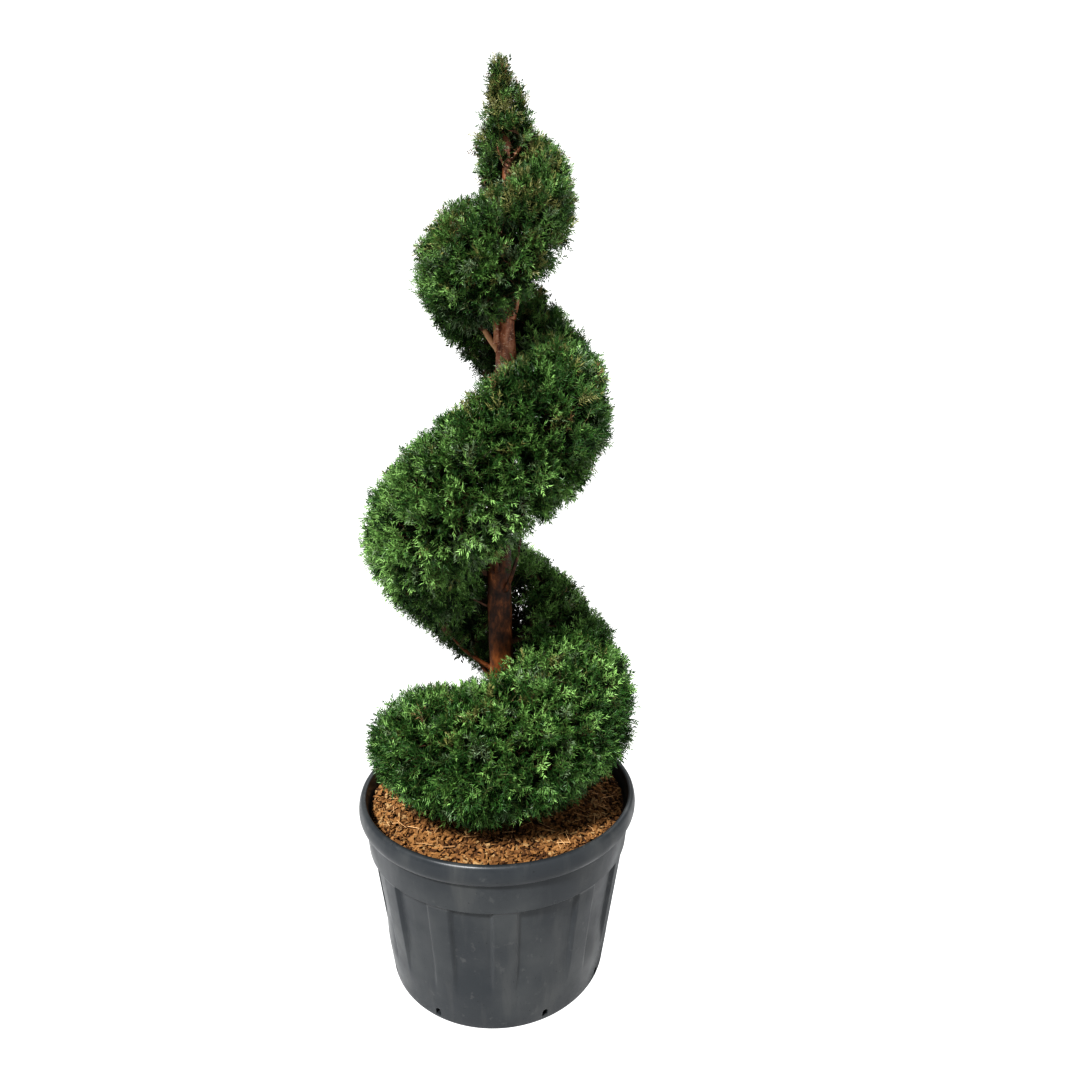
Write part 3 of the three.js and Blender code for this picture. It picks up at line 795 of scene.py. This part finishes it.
def bark_tube(middles, radii, sides):
    """Rings of bark round a line of middles, closed by a point at both ends."""
    along = unit(np.gradient(middles, axis=0))
    side = unit(np.cross(np.broadcast_to([0, 1, 0.01], along.shape), along))
    other = np.cross(along, side)
    run = np.concatenate([[0], np.cumsum(np.linalg.norm(np.diff(middles, axis=0), axis=1))])
    angles = 2 * np.pi * np.arange(sides) / sides
    rows = []
    for middle, radius, a, b, far in zip(middles, radii, side, other, run):
        for angle in angles:
            out = np.cos(angle) * a + np.sin(angle) * b
            relief = bark_relief(middle + radius * out, angle, far, radius)
            rows.append(middle + (radius + relief) * out)
    ends = [middles[0]] * sides, [middles[-1]] * sides
    points = np.concatenate([ends[0], rows, ends[1]])
    return points, grid_faces(len(middles) + 2, sides)


def make_trunk(material):
    low, high = TRUNK[0, 0], TRUNK[-1, 0]
    heights = np.arange(low, high, BARK_STEP)
    middles, radii = trunk_at(heights)
    points, faces = bark_tube(middles, radii, BARK_SIDES)
    weld(mesh_piece("trunk_bark", points, faces, material, "bark", ["trunk"], smooth=True))


def limb_line(node):
    """A CAD bough's foot, middle and tip, and its radius at both ends."""
    points = solid_of(node)[0]
    centre = points.mean(axis=0)
    axis = np.linalg.svd(points - centre)[2][0]
    foot_side = trunk_at(centre[2])[0] - centre
    axis = axis if foot_side @ axis < 0 else -axis
    share = (points - centre) @ axis
    share = (share - share.min()) / np.ptp(share)
    parts = [points[share > 0.92], points[(share > 0.3) & (share < 0.8)], points[share < 0.35]]
    tip, middle, foot = (part.mean(axis=0) for part in parts)
    radii = []
    for part, place in zip((parts[2], parts[0]), (foot, tip)):
        away = part - place
        away -= np.outer(away @ axis, axis)
        radii.append(np.sort(np.linalg.norm(away, axis=1))[-5:].mean())
    foot = foot - axis * radii[0] * 1.5
    return foot, middle, tip, radii


def limb_curve(node, shares):
    """Points along a CAD bough's bent middle line."""
    foot, middle, tip, _ = limb_line(node)
    bend = 2 * middle - (foot + tip) / 2
    far = shares[:, None]
    return (1 - far) ** 2 * foot + 2 * far * (1 - far) * bend + far**2 * tip


def make_bough(node, material):
    foot, _, tip, (thick, thin) = limb_line(node)
    count = max(8, int(np.linalg.norm(tip - foot) / BOUGH_STEP))
    shares = np.linspace(0, 1, count)
    swell = 1 + FOOT_SWELL * np.exp(-shares * FOOT_FADE)
    radii = (thick + (thin - thick) * shares) * swell
    points, faces = bark_tube(limb_curve(node, shares), radii, BOUGH_SIDES)
    weld(mesh_piece(f"{node}_bark", points, faces, material, "bark", [node], smooth=True))


# ---- foliage ----

CROWN = tree_of(MASSES)


def make_needles(starts, directions, flats, lengths, width):
    """Folded lance-shaped needles of two faces each: base, side, tip, side."""
    across = unit(np.cross(directions, flats)) * (width / 2)
    lift = unit(np.cross(across, directions)) * (width / 2 * NEEDLE_FOLD)
    waist = starts + directions * (lengths * NEEDLE_WAIST)[:, None] + lift
    tips = starts + directions * lengths[:, None]
    points = np.stack([starts, waist + across, tips, waist - across], axis=1).reshape(-1, 3)
    first = np.arange(len(starts))[:, None, None] * 4
    return points, (np.array([[(0, 1, 2), (0, 2, 3)]]) + first).reshape(-1, 3)


def spray_shape(coarseness, rng):
    """One spray along +Z: a shoot, its side shoots, and needles in two loose ranks on each."""
    shoots = [(np.zeros(3), UP, SHOOT_LENGTH * rng.uniform(0.85, 1.1))]
    for number in range(SIDE_SHOOTS):
        lean = np.radians(rng.uniform(*SIDE_LEAN)) * (1 if number % 2 else -1)
        heading = unit(np.array([np.sin(lean), rng.normal(0, 0.25), np.cos(lean)]))
        start = UP * shoots[0][2] * (SIDE_START + SIDE_GAP * number + rng.uniform(0, 0.08))
        shoots.append((start, heading, SIDE_LENGTH * rng.uniform(0.75, 1.2)))
    starts, directions, flats, lengths = [], [], [], []
    for start, heading, length in shoots:
        side = unit(np.cross([0, 1, 0], heading))
        above = np.cross(heading, side)
        count = int(length / (NEEDLE_SPACING * coarseness))
        for i in range(count):
            share = (i + 0.6) / count
            around = np.pi * (i % 2) + rng.normal(0, NEEDLE_SCATTER)
            lean = np.radians(NEEDLE_LEAN - LEAN_LOST * share + rng.normal(0, 7))
            out = side * np.cos(around) + above * np.sin(around)
            directions.append(heading * np.cos(lean) + out * np.sin(lean))
            flats.append(above + rng.normal(0, 0.35, 3))
            starts.append(start + heading * length * share)
            lengths.append(NEEDLE_LENGTH * (1 - 0.35 * share) * rng.uniform(0.8, 1.1))
    rows = (np.array(row) for row in (starts, directions, flats, lengths))
    needles = make_needles(*rows, NEEDLE_WIDTH * coarseness)
    stem_starts = np.array([start for start, _, _ in shoots])
    stem_ends = np.array([start + heading * length for start, heading, length in shoots])
    radii = np.full(len(shoots), STEM_RADIUS)
    return needles, cones(stem_starts, stem_ends, radii)


def open_to_air(places, faces_out, neighbours):
    """Which places look out of the crown, and not at the next mass or the trunk."""
    starts = places + faces_out * 0.0002
    rays = zip(map(Vector, starts), map(Vector, faces_out))
    return np.array([neighbours.ray_cast(start, out, 0.03)[0] is None for start, out in rays])


def open_surface(node, neighbours):
    """The points and triangles of a mass that look out of the crown, and which way is out."""
    points, triangles = solid_of(node)
    corners = points[triangles]
    across = np.cross(corners[:, 1] - corners[:, 0], corners[:, 2] - corners[:, 0])
    looks_out = open_to_air(corners.mean(axis=1), unit(across), neighbours)
    triangles, across = triangles[looks_out], across[looks_out]
    normals = np.zeros_like(points)
    for corner in range(3):
        np.add.at(normals, triangles[:, corner], across)
    return points, triangles, unit(normals), across


def surface_places(surface, spacing, rng):
    """Places strewn over a mass's open surface, and which way is out there."""
    points, triangles, normals, across = surface
    areas = np.linalg.norm(across, axis=1) / 2
    count = int(areas.sum() / spacing**2)
    chosen = rng.choice(len(triangles), count, p=areas / areas.sum())
    a, b = rng.uniform(0, 1, (2, count, 1))
    a, b = np.where(a + b > 1, 1 - a, a), np.where(a + b > 1, 1 - b, b)
    shares = np.concatenate([1 - a - b, a, b], axis=1)
    corners = triangles[chosen]
    places = np.einsum("ij,ijk->ik", shares, points[corners])
    return places, unit(np.einsum("ij,ijk->ik", shares, normals[corners])), unit(across[chosen])


def facing(directions, rng):
    """Rotations that carry +Z to the directions, with any roll."""
    side = unit(np.cross(any_across(directions), directions))
    other = np.cross(directions, side)
    roll = rng.uniform(0, 2 * np.pi, (len(directions), 1))
    across = side * np.cos(roll) + other * np.sin(roll)
    return np.stack([across, np.cross(directions, across), directions], axis=-1)


def noise_at(places, scale, shift=0.0):
    return np.array([noise.noise(Vector(place) * scale + Vector((shift, shift, shift))) for place in places])


def heading_of(out, upright, rng):
    """Shoots grow outwards and turn up to the light, but hang from the underside."""
    lift = np.where(out[:, 2:] < -0.2, -0.1, 0.55) * (1 + 2.2 * upright)
    return unit(out + UP * lift + rng.normal(0, 0.30, out.shape))


def thinness(places, out):
    """The share of the sprays that is missing where the trunk or the sky shows through."""
    missing = np.zeros(len(places))
    for x, z, width, height, share, far_side in THIN_PLACES:
        away = ((places[:, 0] - x) / width) ** 2 + ((places[:, 2] - z) / height) ** 2
        missing += share * np.exp(-away) * (far_side | (out[:, 1] < -0.2))
    return np.minimum(missing, 1)


def among_others(places, kept):
    """Which places have other kept ones close by, so that no spray stands alone."""
    tree = KDTree(len(places))
    for i in np.flatnonzero(kept):
        tree.insert(Vector(places[i]), int(i))
    tree.balance()
    return np.array([len(tree.find_range(Vector(place), LONE_RANGE)) > 4 for place in places])


def within_crown(places):
    """Which places lie inside a mass, or hardly outside it."""
    nearest = [CROWN.find_nearest(Vector(place)) for place in places]
    outside = [(Vector(place) - near).dot(out) for place, (near, out, _, _) in zip(places, nearest)]
    return np.array(outside) < STRAY


def layer_of_sprays(node, surface, layer, neighbours, rng):
    """Rows for the sprays of one layer of a mass: base, direction, size, and shade number."""
    shallow, deep, spacing, inside = layer
    upright = node in REGIONS["top"]
    fineness = next(REGION_FINENESS[region] for region, nodes in REGIONS.items() if node in nodes)
    places, out, faces_out = surface_places(surface, spacing * fineness, rng)
    kept = open_to_air(places, faces_out, neighbours)
    keep_share = np.ones(len(places))
    if not inside:
        keep_share[noise_at(places, 15) > 0.36] = 0.5
        keep_share[out[:, 2] < -0.35] *= 0.72
    keep_share *= 1 - thinness(places, out)
    kept &= rng.uniform(0, 1, len(places)) < keep_share
    kept &= among_others(places, kept)
    hollow = noise_at(places, 7, 5.0)
    places, out, hollow = places[kept], out[kept], hollow[kept]
    count = len(places)
    depth = rng.uniform(shallow, deep, count)
    if not inside:
        depth += HOLLOWS * hollow + BUNCHES * noise_at(places, 27, 3.0)
    if upright:
        depth = np.minimum(depth, 0.012)
    directions = heading_of(out, upright, rng)
    sizes = rng.uniform(0.82, 1.15, count) * fineness * (INSIDE_SIZE if inside else 1)
    tips = places - out * depth[:, None]
    bases = tips - directions * (SHOOT_LENGTH * sizes)[:, None]
    shades = deal_shades(tips, out, inside, upright, rng)
    held = within_crown(bases) & within_crown(tips) if inside else np.full(count, True)
    return bases[held], directions[held], sizes[held], shades[held]


def sprays_on_boughs(region, rng):
    """Rows for the small sprays that half hide the boughs of a region."""
    bases, headings = [], []
    for bough in BOUGHS:
        if bough == SNAG or not bough.startswith(f"bough_{region}"):
            continue
        line = limb_curve(bough, rng.uniform(0.3, 1, BOUGH_SPRAYS))
        along = unit(line.max(axis=0) - line.min(axis=0))
        bases.extend(line)
        headings.extend(0.5 * along + 0.4 * UP + rng.normal(0, 0.7, line.shape))
    if not bases:
        return []
    bases, headings = np.array(bases), unit(np.array(headings))
    sizes = rng.uniform(0.45, 0.8, len(bases)) * REGION_FINENESS[region]
    return [(bases, headings, sizes, deal_shades(bases, headings, False, False, rng))]


def band(values, centre, half_width):
    """1 at the centre, fading away on both sides."""
    return np.exp(-(((values - centre) / half_width) ** 2))


def deal_shades(places, out, inside, upright, rng):
    """A shade for each spray: painted shade inside the crown, beneath it, on the low coil and on the middle
    coil's top, painted light across the middle coil and on a patch at its left, greyer below, olive where
    the clipped tips bronze.
    """
    names = list(NEEDLE_SHADES)
    count = len(places)
    patch = noise_at(places, 9, 2.0)
    fine = noise_at(places, 28, 7.0)
    weights = np.zeros((count, len(names)))
    weight = {name: weights[:, i] for i, name in enumerate(names)}
    height = places[:, 2]
    above = np.clip(out[:, 2], 0, 1)
    below = np.clip(-out[:, 2], 0, 1)
    high = np.clip((height - BRONZED_ABOVE) / (BRONZED_FULLY - BRONZED_ABOVE), 0, 1)
    # How much painted shade the low coil takes at each height.
    low = np.clip((PAINTED_SHADE_BELOW - height) / (PAINTED_SHADE_BELOW - PAINTED_SHADE_FULLY), 0, 1)
    if inside:
        # Painted shade: the sprays inside the crown are near-black, with a few deep green.
        weight["shade"] += 3.0
        weight["deep"] += 0.4
    else:
        # Painted light: a brighter patch on the middle coil's left.
        x, z, size = PAINTED_LIGHT_PATCH
        painted_light = band(places[:, 0], x, size) * band(height, z, size)
        # Painted shade on the low coil and on the middle coil's top.
        painted_shade = 2.6 * low + 2.5 * band(height, *PAINTED_SHADE_BAND)
        bronzed = (0.10 + 0.9 * high) * (0.5 + above + np.clip(-fine, 0, 1) * 2)
        # Painted shade beneath the crown: sprays that face down take more of the dark shades.
        weight["shade"] += 0.30 + 0.5 * below
        weight["deep"] += 0.8 + 0.5 * below + np.clip(-fine, 0, 1) * 3 + painted_shade
        weight["mid"] += 1.3 + np.clip(fine, 0, 1) * 2
        # Painted light: a fresher green across the middle coil and on the patch at its left.
        weight["fresh"] += 0.35 + np.clip(patch, 0, 1) * 1.2 + 1.9 * band(height, *PAINTED_LIGHT_BAND) + 3 * painted_light
        weight["olive"] += bronzed
        weight["grey"] += 0.25 + 0.9 * below * (1 - low)
    weight["brown"] += 0.015 + 0.04 * high + 0.05 * (noise_at(places, 24, 11.0) > 0.5)
    if upright:
        weight["olive"] += 1.0
    running = np.cumsum(weights / weights.sum(axis=1, keepdims=True), axis=1)
    return (rng.uniform(0, 1, (count, 1)) > running).sum(axis=1)


def limb_feet(node, bases, rng):
    """Where a mass's limbs leave the trunk, and the ends of the boughs that lead into it."""
    low, high = np.percentile(bases[:, 2], [4, 80])
    heights = np.linspace(low - 0.03, high, LIMBS_PER_MASS) + rng.normal(0, 0.01, LIMBS_PER_MASS)
    heights = np.clip(heights, TRUNK[0, 0] + 0.06, TRUNK[-1, 0] - 0.005)
    feet = trunk_at(heights)[0]
    tips = [limb_line(bough)[2] for bough in BOUGHS]
    box_low, box_high = (np.array(corner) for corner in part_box(node))
    leading = [tip for tip in tips if np.all(tip > box_low - 0.01) and np.all(tip < box_high + 0.01)]
    return np.concatenate([feet, np.array(leading).reshape(-1, 3)])


def grow(start, radius, ends, rng, limbs):
    """Forks from start again and again until it reaches every end."""
    count = len(ends)
    if count == 1:
        limbs.append((start, ends[0], radius, TWIG_RADIUS))
        return
    centre = ends.mean(axis=0)
    reach = np.linalg.norm(centre - start)
    fork = start + (centre - start) * rng.uniform(*FORK_PLACE) + rng.normal(0, FORK_WANDER, 3) * reach
    onward = TWIG_RADIUS * count**PIPE_POWER
    limbs.append((start, fork, max(radius, onward), onward))
    order = np.argsort(ends[:, np.argmax(ends.var(axis=0))])
    cut = int(np.clip(round(count * rng.uniform(*FORK_SPLIT)), 1, count - 1))
    for part in (order[:cut], order[cut:]):
        grow(fork, TWIG_RADIUS * len(part) ** PIPE_POWER, ends[part], rng, limbs)


def limbs_to(node, bases, rng):
    """The limbs, branches and twigs of one mass, down to the base of every spray."""
    feet = limb_feet(node, bases, rng)
    away = np.linalg.norm(bases[:, None] - feet[None], axis=2)
    climb = feet[None, :, 2] + LIMB_CLIMB * away - bases[:, None, 2]
    nearest = np.argmin(away + 1.2 * np.maximum(climb, 0), axis=1)
    limbs = []
    for number, foot in enumerate(feet):
        ends = bases[nearest == number]
        if len(ends):
            grow(foot, TWIG_RADIUS * len(ends) ** PIPE_POWER, ends, rng, limbs)
    return limbs


def placed(shape, turns, sizes, bases):
    """Copies of a shape's points and faces, turned, sized and put in their places."""
    points, faces = shape
    moved = np.einsum("nij,kj->nki", turns, points) * sizes[:, None, None] + bases[:, None]
    first = np.arange(len(bases))[:, None, None] * len(points)
    return moved.reshape(-1, 3), (faces[None] + first).reshape(-1, faces.shape[1])


def joined(parts):
    """Several sets of points and faces as one."""
    counts = np.cumsum([0] + [len(points) for points, _ in parts[:-1]])
    points = np.concatenate([points for points, _ in parts])
    return points, np.concatenate([faces + count for (_, faces), count in zip(parts, counts)])


def make_region(region, nodes, shapes, materials, rng):
    """All the sprays and limbs of the masses of one region, each shade joined into one piece.

    The shapes are the sprays for the light and, second, the coarser ones for the shade.
    """
    rows, limbs = [], []
    for node in nodes:
        neighbours = tree_of([other for other in MASSES + ["trunk"] if other != node])
        surface = open_surface(node, neighbours)
        layers = [layer_of_sprays(node, surface, layer, neighbours, rng) for layer in LAYERS]
        rows.extend(layers)
        limbs.extend(limbs_to(node, np.concatenate([layer[0] for layer in layers]), rng))
    rows.extend(sprays_on_boughs(region, rng))
    bases, directions, sizes, shades = (np.concatenate(part) for part in zip(*rows))
    turns = facing(directions, rng)
    kinds = rng.integers(0, SPRAY_KINDS, len(bases))
    stems = []
    for number, name in enumerate(NEEDLE_SHADES):
        needles = []
        for kind, (needle_shape, stem_shape) in enumerate(shapes[name == "shade"]):
            mine = (shades == number) & (kinds == kind)
            if mine.any():
                needles.append(placed(needle_shape, turns[mine], sizes[mine], bases[mine]))
                stems.append(placed(stem_shape, turns[mine], sizes[mine], bases[mine]))
        if needles:
            mesh_piece(f"needles_{region}_{name}", *joined(needles), materials[name], "needles", nodes)
    mesh_piece(f"shoots_{region}", *joined(stems), materials["stem"], "needles", nodes)
    starts, ends, thick, thin = (np.array(part) for part in zip(*limbs))
    mesh_piece(f"twigs_{region}", *prisms(starts, ends, thick, thin), materials["twig"], "bark", nodes)


def make_foliage():
    rng = np.random.default_rng(7)
    shapes = [
        [spray_shape(coarseness, rng) for _ in range(SPRAY_KINDS)] for coarseness in (1, SHADED_COARSENESS)
    ]
    materials = {
        name: plain_material(f"needle_{name}", colour, 0.42, 0.32) for name, colour in NEEDLE_SHADES.items()
    }
    materials["stem"] = plain_material("young_stem", (0.085, 0.100, 0.030), 0.6)
    materials["twig"] = plain_material("twig_bark", (0.110, 0.052, 0.028), 0.7)
    for region, nodes in REGIONS.items():
        make_region(region, nodes, shapes, materials, rng)


# ---- stage ----


def make_camera():
    camera = bpy.data.objects.new("camera", bpy.data.cameras.new("camera"))
    camera.data.lens = CAMERA_LENS
    camera.data.shift_y = CAMERA_SHIFT
    tilt = Matrix.Rotation(np.radians(90 - CAMERA_TILT), 4, "X")
    roll = Matrix.Rotation(np.radians(CAMERA_ROLL), 4, "Z")
    camera.matrix_world = Matrix.Translation(CAMERA_PLACE) @ tilt @ roll
    bpy.context.scene.collection.objects.link(camera)
    bpy.context.scene.camera = camera


def make_sun(name, shines_from, strength, width):
    light = bpy.data.lights.new(name, "SUN")
    light.energy = strength
    light.angle = np.radians(width)
    lamp = bpy.data.objects.new(name, light)
    lamp.rotation_euler = Vector(shines_from).to_track_quat("Z", "Y").to_euler()
    bpy.context.scene.collection.objects.link(lamp)


def make_sky():
    """An even soft light from all round, in front of a pure white backdrop."""
    world = bpy.data.worlds.new("sky")
    world.use_nodes = True
    tree = world.node_tree
    sky = tree.nodes["Background"]
    sky.inputs["Color"].default_value = (*SKY_COLOUR, 1)
    sky.inputs["Strength"].default_value = SKY_STRENGTH
    backdrop = tree.nodes.new("ShaderNodeBackground")
    backdrop.inputs["Color"].default_value = (1, 1, 1, 1)
    seen = tree.nodes.new("ShaderNodeLightPath").outputs["Is Camera Ray"]
    either = tree.nodes.new("ShaderNodeMixShader")
    for source, socket in zip((seen, sky.outputs[0], backdrop.outputs[0]), either.inputs):
        tree.links.new(source, socket)
    tree.links.new(either.outputs[0], tree.nodes["World Output"].inputs["Surface"])
    bpy.context.scene.world = world


def make_stage():
    half = FLOOR_SIZE / 2
    mesh = bpy.data.meshes.new("floor")
    corners = [(-half, -half, 0), (half, -half, 0), (half, half, 0), (-half, half, 0)]
    mesh.from_pydata(corners, [], [(0, 1, 2, 3)])
    floor = bpy.data.objects.new("floor", mesh)
    floor.location.z = -FLOOR_DROP
    floor.visible_camera = False
    mesh.materials.append(plain_material("floor", FLOOR_COLOUR, 0.9, 0.1))
    bpy.context.scene.collection.objects.link(floor)
    bpy.context.scene.view_settings.view_transform = "Standard"
    bpy.context.scene.view_settings.look = "High Contrast"


# ---- everything ----

make_camera()
make_stage()
make_sky()
for name, settings in SUNS.items():
    make_sun(name, *settings)

make_pot(pot_material())
dress("potting_soil", soil_material())
mulch_tree = tree_of(["bark_mulch"])
make_mulch_bed(mulch_material(), mulch_tree)
make_chips(mulch_tree)
make_strands(mulch_tree)

bark = bark_material()
make_trunk(bark)
bare_wood = plain_material("bare_wood", BARE_WOOD, 0.7)
for bough in BOUGHS:
    make_bough(bough, bare_wood if bough == SNAG else bark)
make_foliage()
